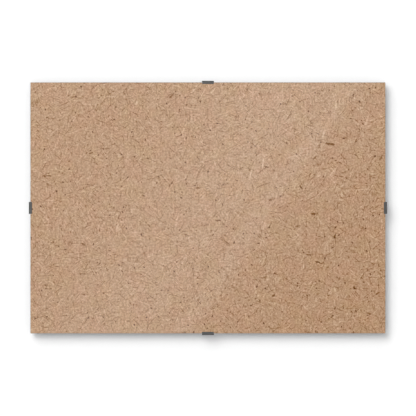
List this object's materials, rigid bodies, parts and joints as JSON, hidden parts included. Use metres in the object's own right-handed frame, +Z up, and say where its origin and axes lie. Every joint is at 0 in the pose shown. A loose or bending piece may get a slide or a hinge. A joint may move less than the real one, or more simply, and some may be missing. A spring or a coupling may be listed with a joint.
{
  "type": "clip frame",
  "caption": "Frameless clip frame: a glass pane held on a hardboard back by sprung steel clips at the middle of each side, hung upright from a sawtooth hanger.",
  "frame": {"origin": "the point of the landscape hanger's middle notch that bears on the nail, in the middle of the hanger's thickness", "axes": "+X to the right as seen from the front, +Y backwards to the wall, +Z up as the frame hangs in landscape"},
  "size_m": [0.2996, 0.0102, 0.2126],
  "materials": {
    "hardboard": "raw pressed wood fibre, sawn edges",
    "float_glass": "clear, polished, edges ground to a narrow arris",
    "spring_steel": "dark satin, heat-blued",
    "zinc_steel": "bright zinc plate"
  },
  "bodies": {
    "panel": {"backing_board": "hardboard", "glass_pane": "float_glass", "hanger_landscape": "zinc_steel", "hanger_portrait": "zinc_steel"},
    "top_clip": {"clip_top": "spring_steel"},
    "right_clip": {"clip_right": "spring_steel"},
    "bottom_clip": {"clip_bottom": "spring_steel"},
    "left_clip": {"clip_left": "spring_steel"}
  },
  "joints": [
    {"name": "top_clip_swing", "type": "hinge", "parent": "panel", "child": "top_clip", "pos_m": [0, -0.00745, 0.04395], "axis": [1, 0, 0], "range_deg": [0, 90]},
    {"name": "right_clip_swing", "type": "hinge", "parent": "panel", "child": "right_clip", "pos_m": [0.14745, -0.00745, -0.06], "axis": [0, 0, -1], "range_deg": [0, 90]},
    {"name": "bottom_clip_swing", "type": "hinge", "parent": "panel", "child": "bottom_clip", "pos_m": [0, -0.00745, -0.16395], "axis": [-1, 0, 0], "range_deg": [0, 90]},
    {"name": "left_clip_swing", "type": "hinge", "parent": "panel", "child": "left_clip", "pos_m": [-0.14745, -0.00745, -0.06], "axis": [0, 0, 1], "range_deg": [0, 90]}
  ]
}
